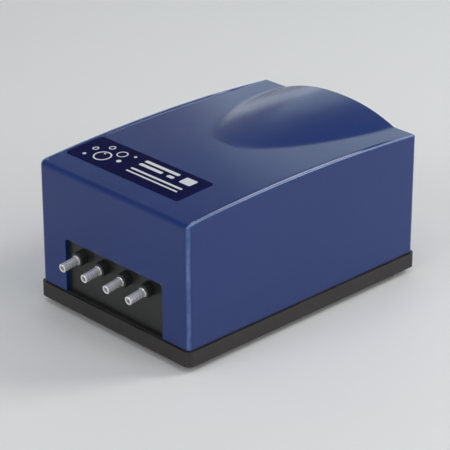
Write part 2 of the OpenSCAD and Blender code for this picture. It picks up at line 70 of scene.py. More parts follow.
# ------------------------------------------------------------------ sizes
# Lengths below are millimetres from the centre of the housing, with z = 0 at
# the seam. OFF moves them into the shared frame.
HOUSING_LO, HOUSING_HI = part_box("upper_housing")
GASKET_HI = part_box("housing_gasket")[1]
OFF = np.array([(HOUSING_LO.x + HOUSING_HI.x) / 2, (HOUSING_LO.y + HOUSING_HI.y) / 2, GASKET_HI.z]) * 1000
HX = (HOUSING_HI.x - HOUSING_LO.x) * 500
HY = (HOUSING_HI.y - HOUSING_LO.y) * 500
TOP = HOUSING_HI.z * 1000 - OFF[2]
WALL = 2.6
CORNER = 3.0
DECK_H, DECK_RISE = 72.5, 3.5
DECK_R = (2 * HY) ** 2 / 8 / DECK_RISE + DECK_RISE / 2
RIDGE_R = 862.0


def to_frame(points):
    return (np.asarray(points, float).reshape(-1, 3) + OFF) * 0.001


# ------------------------------------------------------------------ meshes
def mesh_of(name, points, faces, face_mats=None):
    me = bpy.data.meshes.new(name)
    me.from_pydata([tuple(p) for p in to_frame(points)], [], [tuple(f) for f in faces])
    if face_mats is not None:
        me.polygons.foreach_set("material_index", face_mats)
    me.update()
    return me


def tidy(me, dist=2e-6, dissolve=0.0):
    bm = bmesh.new()
    bm.from_mesh(me)
    bmesh.ops.remove_doubles(bm, verts=bm.verts, dist=dist)
    if dissolve:
        bmesh.ops.dissolve_limit(bm, angle_limit=math.radians(dissolve), verts=bm.verts, edges=bm.edges, delimit={"MATERIAL"})
    bmesh.ops.recalc_face_normals(bm, faces=bm.faces)
    bm.to_mesh(me)
    bm.free()
    return me


def shade(me, angle=35):
    bm = bmesh.new()
    bm.from_mesh(me)
    limit = math.radians(angle)
    for f in bm.faces:
        f.smooth = True
    for e in bm.edges:
        e.smooth = len(e.link_faces) == 2 and e.calc_face_angle(0) < limit
    bm.to_mesh(me)
    bm.free()
    return me


def temp(me):
    o = bpy.data.objects.new(me.name, me)
    scene.collection.objects.link(o)
    return o


def baked(o):
    """The object's mesh with its modifiers applied; the object goes."""
    bpy.context.view_layer.update()
    me = bpy.data.meshes.new_from_object(o.evaluated_get(bpy.context.evaluated_depsgraph_get()))
    bpy.data.objects.remove(o)
    return me


def boolean(me, other, op):
    a, b = temp(me), temp(other)
    m = a.modifiers.new("cut", "BOOLEAN")
    m.object, m.operation, m.solver = b, op, "EXACT"
    out = baked(a)
    bpy.data.objects.remove(b)
    return tidy(out, 1e-6)


def bevelled(me, width, segments=2, angle=40, weights=False):
    o = temp(me)
    m = o.modifiers.new("edge", "BEVEL")
    m.width, m.segments, m.miter_outer = width * 0.001, segments, "MITER_ARC"
    m.limit_method = "WEIGHT" if weights else "ANGLE"
    m.angle_limit = math.radians(angle)
    m.use_clamp_overlap = True
    return baked(o)


def piece(name, me, mats, body, replaces=(), angle=35, weighted=True):
    shade(me, angle)
    index = np.zeros(len(me.polygons), dtype=np.int32)
    me.polygons.foreach_get("material_index", index)
    me.materials.clear()
    for m in mats:
        me.materials.append(m)
    me.polygons.foreach_set("material_index", np.minimum(index, len(mats) - 1).astype(np.int32))
    o = bpy.data.objects.new(name, me)
    scene.collection.objects.link(o)
    if weighted:
        w = o.modifiers.new("normals", "WEIGHTED_NORMAL")
        w.keep_sharp, w.weight = True, 60
    if body:
        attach(o, body)
    if replaces:
        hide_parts(*replaces)
    return o


def ring_faces(a, b, n, closed=True):
    last = n if closed else n - 1
    return [(a + i, a + (i + 1) % n, b + (i + 1) % n, b + i) for i in range(last)]


def revolved(profile, centre, axis, sides=48, up=(0, 0, 1)):
    """A closed solid of revolution. profile is (r, h) points along the axis; where r is 0 the end is closed."""
    axis = Vector(axis).normalized()
    u = axis.cross(Vector(up))
    if u.length < 1e-6:
        u = axis.cross(Vector((1, 0, 0)))
    u.normalize()
    v = axis.cross(u)
    points, faces, rings = [], [], []
    for r, h in profile:
        base = Vector(centre) + axis * h
        if r < 1e-9:
            rings.append((len(points), 1))
            points.append(tuple(base))
        else:
            rings.append((len(points), sides))
            for k in range(sides):
                t = 2 * math.pi * k / sides
                points.append(tuple(base + u * (r * math.cos(t)) + v * (r * math.sin(t))))
    pairs = list(zip(rings, rings[1:]))
    if profile[0][0] > 1e-9 and profile[-1][0] > 1e-9:
        pairs.append((rings[-1], rings[0]))
    for (a, na), (b, nb) in pairs:
        if na == 1 and nb == 1:
            continue
        if na == 1:
            faces += [(a, b + (k + 1) % nb, b + k) for k in range(nb)]
        elif nb == 1:
            faces += [(a + k, a + (k + 1) % na, b) for k in range(na)]
        else:
            faces += ring_faces(a, b, na)
    return points, faces


def rounded_rect(hx, hy, r, n=8, cx=0.0, cy=0.0):
    out = []
    for sx, sy, t0 in ((1, 1, 0), (-1, 1, 90), (-1, -1, 180), (1, -1, 270)):
        for k in range(n + 1):
            t = math.radians(t0 + 90 * k / n)
            out.append((cx + sx * (hx - r) + r * math.cos(t), cy + sy * (hy - r) + r * math.sin(t)))
    return out


def prism(outline, lo, hi, axes="xyz"):
    """An extruded outline. axes says which axis each of (u, v, extrusion) is."""
    n = len(outline)
    order = ["xyz".index(c) for c in axes]
    points = []
    for h in (lo, hi):
        for u, v in outline:
            p = [0.0, 0.0, 0.0]
            p[order[0]], p[order[1]], p[order[2]] = u, v, h
            points.append(p)
    faces = [tuple(range(n - 1, -1, -1)), tuple(range(n, 2 * n))] + ring_faces(0, n, n)
    return points, faces


def joined(*solids):
    points, faces = [], []
    for p, f in solids:
        k = len(points)
        points += [tuple(x) for x in p]
        faces += [tuple(i + k for i in face) for face in f]
    return points, faces


# ------------------------------------------------------------------ materials
class Mat:
    def __init__(self, name, color=(0.5, 0.5, 0.5), rough=0.4, metal=0.0, **more):
        self.m = bpy.data.materials.new(name)
        self.m.use_nodes = True
        self.nt = self.m.node_tree
        self.nt.nodes.clear()
        self.out = self.new("ShaderNodeOutputMaterial")
        self.b = self.new("ShaderNodeBsdfPrincipled")
        self.nt.links.new(self.b.outputs[0], self.out.inputs[0])
        self.co = self.new("ShaderNodeTexCoord").outputs["Object"]
        self.set("Base Color", color)
        self.set("Roughness", rough)
        self.set("Metallic", metal)
        for k, v in more.items():
            self.set(k, v)
        self.m.diffuse_color = (*color, 1)

    def new(self, kind):
        return self.nt.nodes.new(kind)

    def put(self, socket, value):
        if isinstance(value, bpy.types.NodeSocket):
            self.nt.links.new(value, socket)
        elif hasattr(value, "__len__") and socket.type == "RGBA" and len(value) == 3:
            socket.default_value = (*value, 1)
        else:
            socket.default_value = value

    def set(self, name, value):
        self.put(self.b.inputs[name], value)

    def stretched(self, scale):
        n = self.new("ShaderNodeMapping")
        self.put(n.inputs["Vector"], self.co)
        n.inputs["Scale"].default_value = scale
        return n.outputs[0]

    def noise(self, scale, detail=3.0, rough=0.55, stretch=None, distortion=0.0):
        n = self.new("ShaderNodeTexNoise")
        self.put(n.inputs["Vector"], self.co if stretch is None else self.stretched(stretch))
        n.inputs["Scale"].default_value = scale
        n.inputs["Detail"].default_value = detail
        n.inputs["Roughness"].default_value = rough
        n.inputs["Distortion"].default_value = distortion
        return n.outputs["Fac"]

    def voronoi(self, scale, feature="F1", stretch=None, out="Distance"):
        n = self.new("ShaderNodeTexVoronoi")
        n.feature = feature
        self.put(n.inputs["Vector"], self.co if stretch is None else self.stretched(stretch))
        n.inputs["Scale"].default_value = scale
        return n.outputs[out]

    def bands(self, period, axis="Z", distortion=0.0):
        """Waves that repeat every so many millimetres."""
        n = self.new("ShaderNodeTexWave")
        n.wave_type, n.bands_direction, n.wave_profile = "BANDS", axis, "SIN"
        self.put(n.inputs["Vector"], self.co)
        n.inputs["Scale"].default_value = 100 * math.pi / period
        n.inputs["Distortion"].default_value = distortion
        return n.outputs["Fac"]

    def ranged(self, value, a, b, lo, hi):
        n = self.new("ShaderNodeMapRange")
        n.clamp = True
        for k, v in (("Value", value), ("From Min", a), ("From Max", b), ("To Min", lo), ("To Max", hi)):
            self.put(n.inputs[k], v)
        return n.outputs[0]

    def mixed(self, fac, a, b):
        n = self.new("ShaderNodeMix")
        n.data_type = "RGBA"
        self.put(n.inputs[0], fac)
        self.put(n.inputs[6], a)
        self.put(n.inputs[7], b)
        return n.outputs[2]

    def math(self, op, a, b=0.5):
        n = self.new("ShaderNodeMath")
        n.operation = op
        self.put(n.inputs[0], a)
        self.put(n.inputs[1], b)
        return n.outputs[0]

    def edges(self, radius, lo=0.03, hi=0.35):
        """1 on convex and concave edges, 0 on flats."""
        n = self.new("ShaderNodeBevel")
        n.samples = 4
        n.inputs["Radius"].default_value = radius * 0.001
        g = self.new("ShaderNodeNewGeometry")
        d = self.new("ShaderNodeVectorMath")
        d.operation = "DOT_PRODUCT"
        self.put(d.inputs[0], n.outputs[0])
        self.put(d.inputs[1], g.outputs["Normal"])
        return self.ranged(self.math("SUBTRACT", 1.0, d.outputs["Value"]), lo, hi, 0.0, 1.0)

    def upward(self):
        g = self.new("ShaderNodeNewGeometry")
        s = self.new("ShaderNodeSeparateXYZ")
        self.put(s.inputs[0], g.outputs["Normal"])
        return self.ranged(s.outputs[2], 0.3, 1.0, 0.0, 1.0)

    def bump(self, height, strength, distance, under=None):
        n = self.new("ShaderNodeBump")
        n.inputs["Strength"].default_value = strength
        n.inputs["Distance"].default_value = distance * 0.001
        self.put(n.inputs["Height"], height)
        if under is not None:
            self.put(n.inputs["Normal"], under)
        return n.outputs[0]

    def normal(self, socket):
        self.set("Normal", socket)
        return self


def plastic(name, color, dark, pale, rough, grain=2500, grain_strength=0.12, wave=90, wave_strength=0.0, wear=0.35, edge=0.5, dust=0.0, **more):
    """Moulded plastic: faint mottling, smudged gloss, fine surface grain and paler rubbed edges."""
    m = Mat(name, color, rough, 0.0, **more)
    c = m.mixed(m.ranged(m.noise(28, 5, 0.6), 0.35, 0.68, 0, 1), dark, color)
    c = m.mixed(m.ranged(m.noise(1400, 2), 0.55, 0.8, 0, 0.25), c, pale)
    e = m.math("MULTIPLY", m.edges(edge), m.ranged(m.noise(420, 4, 0.7), 0.35, 0.7, 0.25, 1.0))
    c = m.mixed(m.math("MULTIPLY", e, wear), c, pale)
    if dust:
        d = m.math("MULTIPLY", m.upward(), m.ranged(m.noise(60, 6, 0.7), 0.45, 0.8, 0, dust))
        c = m.mixed(d, c, (0.42, 0.41, 0.39))
    m.set("Base Color", c)
    smear = m.noise(34, 5, 0.62, (1, 0.35, 1), 0.4)
    scuff = m.noise(260, 4, 0.7, (1, 0.12, 1))
    r = m.math("ADD", m.ranged(smear, 0.3, 0.7, rough * 0.8, rough * 1.3), m.ranged(scuff, 0.6, 0.85, 0, 0.12))
    m.set("Roughness", m.math("ADD", r, m.math("MULTIPLY", e, 0.12)))
    n = m.bump(m.noise(grain, 2, 0.5), grain_strength, 0.02)
    if wave_strength:
        n = m.bump(m.noise(wave, 2, 0.5), wave_strength, 0.2, n)
    m.normal(m.bump(scuff, 0.05, 0.02, n))
    return m.m


def rubber(name, color, pale, rough=0.65, grain=1500):
    m = Mat(name, color, rough)
    c = m.mixed(m.ranged(m.noise(55, 6, 0.65), 0.4, 0.72, 0, 0.5), color, pale)
    c = m.mixed(m.math("MULTIPLY", m.edges(0.4), 0.4), c, pale)
    m.set("Base Color", c)
    m.set("Roughness", m.ranged(m.noise(120, 4), 0.3, 0.7, rough - 0.1, rough + 0.14))
    m.normal(m.bump(m.noise(grain, 3, 0.6), 0.3, 0.03))
    return m.m


def metal(name, color, dark, rough=0.28, lines=None, grain=900, spots=0.3, edge=0.25):
    """Bare or plated metal: brushed or turned lines, stained patches and brighter edges."""
    m = Mat(name, color, rough, 1.0)
    c = m.mixed(m.ranged(m.noise(70, 6, 0.7), 0.42, 0.75, 0, spots), color, dark)
    c = m.mixed(m.math("MULTIPLY", m.edges(edge), 0.4), c, tuple(min(1, x * 1.25) for x in color))
    m.set("Base Color", c)
    stripe = m.noise(grain, 3, 0.6, lines or (1, 1, 1))
    m.set("Roughness", m.math("ADD", m.ranged(stripe, 0.3, 0.7, rough * 0.75, rough * 1.35), m.ranged(m.noise(90, 4), 0.5, 0.8, 0, 0.15)))
    m.normal(m.bump(stripe, 0.18, 0.015))
    return m.m


def housing_material():
    blue, dark, pale = (0.0095, 0.035, 0.182), (0.0078, 0.029, 0.153), (0.12, 0.20, 0.46)
    m = Mat("housing_blue", blue, 0.2, **{"Specular IOR Level": 0.45})
    flow = m.noise(9, 4, 0.55, (1, 0.4, 1), 0.8)
    c = m.mixed(m.ranged(flow, 0.3, 0.7, 0, 1), dark, blue)
    c = m.mixed(m.ranged(m.noise(2200, 2, 0.5), 0.6, 0.85, 0, 0.08), c, pale)
    fine = m.ranged(m.noise(520, 4, 0.7), 0.38, 0.7, 0.2, 1.0)
    e = m.math("MULTIPLY", m.edges(0.7, 0.02, 0.3), fine)
    c = m.mixed(m.math("MULTIPLY", e, 0.30), c, pale)
    # painted highlight: the four upright corners are painted paler, broken up by noise
    place = m.new("ShaderNodeSeparateXYZ")
    m.put(place.inputs[0], m.co)
    ax = m.math("ABSOLUTE", m.math("SUBTRACT", place.outputs[0], float(OFF[0]) * 0.001), 0.0)
    ay = m.math("ABSOLUTE", m.math("SUBTRACT", place.outputs[1], float(OFF[1]) * 0.001), 0.0)
    corner = m.math("MINIMUM", m.ranged(ax, (HX - 2.3) * 0.001, (HX - 1.1) * 0.001, 0, 1), m.ranged(ay, (HY - 2.3) * 0.001, (HY - 1.1) * 0.001, 0, 1))
    corner_highlight = m.math("MULTIPLY", corner, m.ranged(m.noise(150, 5, 0.7, (1, 1, 0.4)), 0.32, 0.62, 0.25, 1.0))
    c = m.mixed(m.math("MULTIPLY", corner_highlight, 0.85), c, (0.16, 0.26, 0.54))
    # painted highlight: the crest of the bead along each side of the deck, where it faces up, is painted paler
    crest_highlight = m.math("MULTIPLY", m.ranged(ax, (HX - 1.9) * 0.001, (HX - 1.5) * 0.001, 0, 1), m.upward())
    crest_highlight = m.math("MULTIPLY", crest_highlight, m.ranged(m.noise(120, 5, 0.7, (1, 0.4, 1)), 0.30, 0.60, 0.45, 1.0))
    c = m.mixed(m.math("MULTIPLY", crest_highlight, 0.9), c, (0.24, 0.36, 0.62))
    d = m.math("MULTIPLY", m.upward(), m.ranged(m.noise(46, 7, 0.72), 0.5, 0.85, 0, 0.03))
    c = m.mixed(d, c, (0.4, 0.4, 0.42))
    m.set("Base Color", c)
    smear = m.noise(22, 6, 0.62, (1, 0.5, 1), 0.7)
    hair = m.noise(160, 5, 0.75, (1, 0.05, 1))
    hair2 = m.noise(170, 5, 0.75, (0.06, 1, 0.7))
    r = m.math("ADD", m.ranged(smear, 0.3, 0.72, 0.15, 0.24), m.ranged(hair, 0.62, 0.8, 0, 0.10))
    r = m.math("ADD", r, m.ranged(hair2, 0.64, 0.8, 0, 0.08))
    m.set("Roughness", m.math("ADD", r, m.math("MULTIPLY", e, 0.1)))
    n = m.bump(m.noise(70, 2, 0.5), 0.05, 0.25)
    n = m.bump(m.noise(1300, 2, 0.5), 0.05, 0.02, n)
    m.normal(m.bump(m.math("ADD", hair, hair2), 0.03, 0.01, n))
    return m.m


def laminated(name):
    m = Mat(name, (0.34, 0.35, 0.37), 0.42, 0.85)
    plates = m.bands(0.5, "Z")
    c = m.mixed(m.ranged(plates, 0.1, 0.4, 1, 0), (0.30, 0.31, 0.33), (0.05, 0.045, 0.04))
    rust = m.ranged(m.noise(150, 6, 0.72), 0.6, 0.78, 0, 0.7)
    c = m.mixed(rust, c, (0.20, 0.085, 0.035))
    c = m.mixed(m.ranged(m.noise(40, 4), 0.4, 0.7, 0, 0.35), c, (0.22, 0.17, 0.11))
    m.set("Base Color", c)
    m.set("Roughness", m.ranged(m.noise(200, 4), 0.3, 0.7, 0.32, 0.6))
    m.normal(m.bump(plates, 0.5, 0.06, m.bump(m.noise(700, 3), 0.15, 0.03)))
    return m.m


def wound(name):
    m = Mat(name, (0.55, 0.18, 0.06), 0.3, 0.75, **{"Coat Weight": 0.5, "Coat Roughness": 0.15})
    turns = m.bands(0.45, "Y", 0.6)
    c = m.mixed(turns, (0.16, 0.035, 0.012), (0.62, 0.22, 0.075))
    c = m.mixed(m.ranged(m.noise(90, 5), 0.4, 0.7, 0, 0.4), c, (0.30, 0.08, 0.03))
    m.set("Base Color", c)
    m.set("Roughness", m.ranged(m.noise(180, 4), 0.3, 0.7, 0.22, 0.42))
    m.normal(m.bump(turns, 0.8, 0.12))
    return m.m


def felt(name):
    m = Mat(name, (0.78, 0.77, 0.70), 0.95, **{"Sheen Weight": 0.4})
    fibre = m.noise(1100, 6, 0.8, (1, 0.25, 1), 1.5)
    cross = m.noise(1100, 6, 0.8, (0.25, 1, 1), 1.5)
    h = m.math("MAXIMUM", fibre, cross)
    c = m.mixed(m.ranged(h, 0.45, 0.75, 0, 1), (0.45, 0.44, 0.39), (0.80, 0.79, 0.73))
    c = m.mixed(m.ranged(m.noise(60, 5), 0.45, 0.8, 0, 0.5), c, (0.38, 0.35, 0.30))
    m.set("Base Color", c)
    m.normal(m.bump(h, 0.9, 0.3))
    return m.m


def ferrite(name):
    m = Mat(name, (0.075, 0.075, 0.08), 0.5, 0.3)
    chips = m.ranged(m.voronoi(600), 0.1, 0.5, 0, 1)
    c = m.mixed(chips, (0.045, 0.045, 0.05), (0.12, 0.12, 0.125))
    c = m.mixed(m.math("MULTIPLY", m.edges(0.5), m.ranged(m.noise(500, 4), 0.4, 0.6, 0, 0.8)), c, (0.24, 0.24, 0.25))
    m.set("Base Color", c)
    m.set("Roughness", m.ranged(m.noise(300, 4), 0.3, 0.7, 0.4, 0.65))
    m.normal(m.bump(m.noise(1600, 4, 0.7), 0.35, 0.04))
    return m.m


def tape(name):
    m = Mat(name, (0.72, 0.50, 0.05), 0.25, **{"Coat Weight": 0.4})
    crease = m.ranged(m.noise(130, 5, 0.6, (0.2, 1, 1), 1.0), 0.55, 0.75, 0, 1)
    lap = m.ranged(m.bands(6.0, "Y"), 0.0, 0.04, 1, 0)
    c = m.mixed(crease, (0.70, 0.47, 0.04), (0.85, 0.66, 0.16))
    c = m.mixed(lap, c, (0.45, 0.27, 0.02))
    m.set("Base Color", c)
    m.set("Roughness", m.ranged(m.noise(90, 4), 0.3, 0.7, 0.18, 0.36))
    m.normal(m.bump(m.math("ADD", crease, lap), 0.3, 0.08))
    return m.m


def zinc(name):
    m = Mat(name, (0.60, 0.61, 0.62), 0.35, 1.0)
    cell = m.voronoi(160, out="Color")
    g = m.new("ShaderNodeSeparateColor")
    m.put(g.inputs[0], cell)
    c = m.mixed(g.outputs[0], (0.53, 0.545, 0.56), (0.63, 0.64, 0.64))
    c = m.mixed(m.ranged(m.noise(60, 6, 0.7), 0.5, 0.8, 0, 0.4), c, (0.33, 0.31, 0.27))
    m.set("Base Color", c)
    m.set("Roughness", m.ranged(g.outputs[1], 0, 1, 0.33, 0.45))
    m.normal(m.bump(m.noise(900, 3, 0.6, (1, 0.08, 1)), 0.14, 0.02))
    return m.m


def tubing(name):
    m = Mat(name, (0.50, 0.56, 0.55), 0.3, **{"Subsurface Weight": 0.25, "Subsurface Scale": 0.002, "Subsurface Radius": (1.0, 1.0, 1.0)})
    c = m.mixed(m.ranged(m.noise(45, 5), 0.35, 0.7, 0, 1), (0.44, 0.51, 0.50), (0.58, 0.63, 0.61))
    m.set("Base Color", m.mixed(m.ranged(m.noise(700, 4), 0.6, 0.8, 0, 0.3), c, (0.72, 0.75, 0.73)))
    m.set("Roughness", m.ranged(m.noise(150, 4), 0.3, 0.7, 0.2, 0.42))
    m.normal(m.bump(m.noise(500, 3, 0.6, (1, 0.1, 1)), 0.12, 0.04))
    return m.m


def nozzle_metal(name):
    m = Mat(name, (0.90, 0.90, 0.88), 0.3, 0.62)
    turned = m.noise(1500, 3, 0.6, (0.05, 1.0, 0.05))
    c = m.mixed(m.ranged(m.noise(90, 5, 0.6), 0.5, 0.8, 0, 0.15), (0.95, 0.95, 0.93), (0.60, 0.59, 0.56))
    c = m.mixed(m.math("MULTIPLY", m.edges(0.3), 0.35), c, (0.97, 0.97, 0.96))
    m.set("Base Color", c)
    m.set("Roughness", m.math("ADD", m.ranged(turned, 0.3, 0.7, 0.22, 0.34), m.ranged(m.noise(200, 4), 0.55, 0.8, 0, 0.12)))
    m.normal(m.bump(turned, 0.035, 0.006))
    return m.m


def label_material():
    m = Mat("label_navy", (0.005, 0.006, 0.052), 0.4, **{"Specular IOR Level": 0.012})
    c = m.mixed(m.ranged(m.noise(30, 5, 0.6), 0.35, 0.7, 0, 1), (0.004, 0.005, 0.045), (0.006, 0.006, 0.060))
    wear = m.math("MULTIPLY", m.edges(0.5), m.ranged(m.noise(300, 5, 0.7), 0.45, 0.65, 0, 0.5))
    m.set("Base Color", m.mixed(wear, c, (0.13, 0.13, 0.24)))
    m.set("Roughness", m.ranged(m.noise(120, 5), 0.3, 0.7, 0.32, 0.42))
    m.normal(m.bump(m.noise(900, 3), 0.06, 0.02))
    return m.m


def print_material():
    m = Mat("label_print_white", (0.72, 0.73, 0.76), 0.4)
    worn = m.ranged(m.noise(700, 5, 0.75), 0.58, 0.72, 0, 0.5)
    m.set("Base Color", m.mixed(worn, (0.74, 0.75, 0.78), (0.30, 0.31, 0.42)))
    m.set("Roughness", m.ranged(m.noise(300, 4), 0.3, 0.7, 0.32, 0.55))
    m.normal(m.bump(m.noise(1200, 3), 0.2, 0.02))
    return m.m


MATS = {
    "housing_blue": housing_material(),
    "base_black": plastic("base_black", (0.024, 0.019, 0.018), (0.017, 0.014, 0.013), (0.10, 0.088, 0.08), 0.42, 1900, 0.35, wear=0.35, edge=0.6, dust=0.12),
    "seal_black": rubber("seal_black", (0.012, 0.012, 0.012), (0.05, 0.05, 0.05)),
    "foot_rubber": rubber("foot_rubber", (0.020, 0.020, 0.021), (0.085, 0.083, 0.08), 0.72),
    "screw_steel": metal("screw_steel", (0.62, 0.61, 0.58), (0.25, 0.23, 0.20), 0.28),
    "panel_black": plastic("panel_black", (0.017, 0.018, 0.015), (0.012, 0.013, 0.011), (0.085, 0.088, 0.08), 0.36, 2100, 0.3, wear=0.3, edge=0.4, dust=0.1),
    "nozzle_metal": nozzle_metal("nozzle_metal"),
    "label_navy": label_material(),
    "felt_white": felt("felt_white"),
    "sheet_steel": zinc("sheet_steel"),
    "core_steel": laminated("core_steel"),
    "spacer_aluminium": metal("spacer_aluminium", (0.74, 0.75, 0.76), (0.42, 0.42, 0.42), 0.3, (0.05, 0.05, 1)),
    "bobbin_white": plastic("bobbin_white", (0.74, 0.73, 0.66), (0.66, 0.64, 0.56), (0.85, 0.84, 0.80), 0.45, 1500, 0.15, wear=0.3, dust=0.1),
    "winding_copper": wound("winding_copper"),
    "tape_yellow": tape("tape_yellow"),
    "lead_red": plastic("lead_red", (0.42, 0.018, 0.014), (0.32, 0.012, 0.010), (0.60, 0.10, 0.08), 0.32, 1200, 0.1, wear=0.2, dust=0.1),
    "pin_steel": metal("pin_steel", (0.66, 0.66, 0.67), (0.34, 0.33, 0.32), 0.18, (1, 1, 0.05)),
    "arm_plastic": plastic("arm_plastic", (0.040, 0.042, 0.050), (0.030, 0.031, 0.038), (0.16, 0.16, 0.18), 0.45, 1700, 0.4, wear=0.4, dust=0.05),
    "bush_brass": metal("bush_brass", (0.72, 0.52, 0.20), (0.35, 0.22, 0.08), 0.26, (0.05, 0.05, 1)),
    "magnet_grey": ferrite("magnet_grey"),
    "diaphragm_rubber": rubber("diaphragm_rubber", (0.016, 0.016, 0.017), (0.06, 0.06, 0.06), 0.55),
    "head_grey": plastic("head_grey", (0.56, 0.57, 0.54), (0.49, 0.50, 0.47), (0.74, 0.75, 0.72), 0.42, 1600, 0.2, wear=0.35, dust=0.1),
    "gasket_red": rubber("gasket_red", (0.36, 0.060, 0.035), (0.52, 0.16, 0.10), 0.7),
    "tube_grey": tubing("tube_grey"),
}
PRINT = print_material()

NODE_SLOT = {
    "upper_housing": "housing_blue", "base_tray": "base_black", "intake_cover": "base_black",
    "housing_gasket": "seal_black", "cord_gland": "seal_black", "vibration_mounts": "seal_black",
    "foot_front_left": "foot_rubber", "foot_front_right": "foot_rubber", "foot_rear_left": "foot_rubber", "foot_rear_right": "foot_rubber",
    "outlet_panel": "panel_black", "name_label": "label_navy", "intake_felt": "felt_white",
    "housing_screws": "screw_steel", "chassis_screws": "screw_steel", "core_screws": "screw_steel", "head_screws": "screw_steel", "head_foot_screws": "screw_steel",
    "right_diaphragm_stud": "screw_steel", "left_diaphragm_stud": "screw_steel",
    "chassis_plate": "sheet_steel", "pivot_bracket": "sheet_steel", "magnet_core": "core_steel", "core_spacers": "spacer_aluminium",
    "coil_bobbin": "bobbin_white", "lead_connectors": "bobbin_white", "coil_winding": "winding_copper", "coil_tape": "tape_yellow", "coil_leads": "lead_red",
    "right_pivot_pin": "pin_steel", "left_pivot_pin": "pin_steel", "right_swing_arm": "arm_plastic", "left_swing_arm": "arm_plastic",
    "right_arm_bush": "bush_brass", "left_arm_bush": "bush_brass", "right_arm_magnet": "magnet_grey", "left_arm_magnet": "magnet_grey",
    "right_diaphragm": "diaphragm_rubber", "left_diaphragm": "diaphragm_rubber", "right_clamp_ring": "arm_plastic", "left_clamp_ring": "arm_plastic",
    "right_pump_head": "head_grey", "left_pump_head": "head_grey", "right_head_cover": "head_grey", "left_head_cover": "head_grey",
    "right_head_gasket": "gasket_red", "left_head_gasket": "gasket_red",
    "right_inlet_flap": "gasket_red", "right_outlet_flap": "gasket_red", "left_inlet_flap": "gasket_red", "left_outlet_flap": "gasket_red",
}
for k in range(1, 5):
    NODE_SLOT[f"outlet_nozzle_{k}"] = "nozzle_metal"
    NODE_SLOT[f"air_tube_{k}"] = "tube_grey"


# ------------------------------------------------------------------ CAD nodes that stay
def smooth_group():
    """Drops imported normals, then shades smooth except across sharp edges."""
    g = bpy.data.node_groups.new("shade_by_angle", "GeometryNodeTree")
    g.interface.new_socket("Geometry", in_out="INPUT", socket_type="NodeSocketGeometry")
    g.interface.new_socket("Geometry", in_out="OUTPUT", socket_type="NodeSocketGeometry")
    a, z = g.nodes.new("NodeGroupInput"), g.nodes.new("NodeGroupOutput")
    drop = g.nodes.new("GeometryNodeRemoveAttribute")
    drop.inputs["Name"].default_value = "custom_normal"
    faces = g.nodes.new("GeometryNodeSetShadeSmooth")
    faces.domain = "FACE"
    faces.inputs["Shade Smooth"].default_value = True
    angle = g.nodes.new("GeometryNodeInputMeshEdgeAngle")
    over = g.nodes.new("FunctionNodeCompare")
    over.data_type, over.operation = "FLOAT", "GREATER_THAN"
    over.inputs[1].default_value = math.radians(33)
    edges = g.nodes.new("GeometryNodeSetShadeSmooth")
    edges.domain = "EDGE"
    edges.inputs["Shade Smooth"].default_value = False
    link = g.links.new
    link(a.outputs[0], drop.inputs["Geometry"])
    link(drop.outputs[0], faces.inputs["Geometry"])
    link(faces.outputs[0], edges.inputs["Geometry"])
    link(angle.outputs["Unsigned Angle"], over.inputs[0])
    link(over.outputs[0], edges.inputs["Selection"])
    link(edges.outputs[0], z.inputs[0])
    return g


SMOOTH = smooth_group()
BEVELS = {"base_tray": 0.5, "intake_cover": 0.3, "housing_gasket": 0.08, "outlet_panel": 0.35, "chassis_plate": 0.25, "magnet_core": 0.2,
          "right_head_gasket": 0.1, "left_head_gasket": 0.1, "coil_tape": 0.15, "coil_leads": 0.0, "intake_felt": 0.5,
          "right_inlet_flap": 0.08, "right_outlet_flap": 0.08, "left_inlet_flap": 0.08, "left_outlet_flap": 0.08,
          "right_diaphragm": 0.0, "left_diaphragm": 0.0, "coil_winding": 0.3, "right_arm_magnet": 0.3, "left_arm_magnet": 0.3}


TRIANGLES = {"intake_cover"}        # its slots leave large faces that touch themselves


def polish(name):
    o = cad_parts[name]
    mat = MATS[NODE_SLOT[name]]
    for s in o.material_slots:
        s.material = mat
    w = o.modifiers.new("weld", "WELD")
    w.merge_threshold = 2e-6
    width = BEVELS.get(name, 0.18)
    if width:
        d = o.modifiers.new("flat", "DECIMATE")
        d.decimate_type, d.angle_limit = "DISSOLVE", math.radians(0.1)
        if name in TRIANGLES:
            t = o.modifiers.new("triangles", "TRIANGULATE")
            t.ngon_method = "BEAUTY"
        b = o.modifiers.new("edge", "BEVEL")
        b.width, b.segments, b.limit_method, b.angle_limit = width * 0.001, 2, "ANGLE", math.radians(35)
        b.use_clamp_overlap = True
    s = o.modifiers.new("shade", "NODES")
    s.node_group = SMOOTH
    n = o.modifiers.new("normals", "WEIGHTED_NORMAL")
    n.keep_sharp, n.weight = True, 60


# ------------------------------------------------------------------ housing
def deck(y):
    return DECK_H + DECK_RISE - DECK_R + np.sqrt(DECK_R ** 2 - np.asarray(y, float) ** 2)


def smoothstep(x, a, b):
    t = np.clip((x - a) / (b - a), 0, 1)
    return t * t * (3 - 2 * t)


def hump(x, y):
    """How far the hump stands over the deck: a blunt dome with a small fillet at its foot."""
    rise = TOP - RIDGE_R + np.sqrt(RIDGE_R ** 2 - (y - HY) ** 2) - deck(y)
    t = np.clip((82.0 - y) / 84.0, 0, 1)
    half = 43.0 * np.sqrt(np.maximum(1 - t ** 1.65, 1e-6))
    s = np.where(rise > 0, rise * (1 - (np.abs(x) / half) ** 2.2), rise - 0.5 * np.abs(x))
    s = np.clip(s, -6, None)
    k = 0.55
    return np.maximum(s, 0) + np.maximum(k - np.abs(s), 0) ** 2 / (4 * k)


def rim(x, y):
    """The raised bead along each side of the deck and the groove inside it; both fade at the ends."""
    d = HX - np.abs(x)
    g = np.interp(d, [0.9, 1.2, 1.5, 1.75, 2.0, 2.3, 2.7, 3.0, 3.3, 3.7], [0.34, 0.42, 0.30, -0.15, -0.62, -0.80, -0.74, -0.42, -0.12, 0.0])
    return g * smoothstep(y, -85.4, -82.8) * (1 - smoothstep(y, 30, 82))


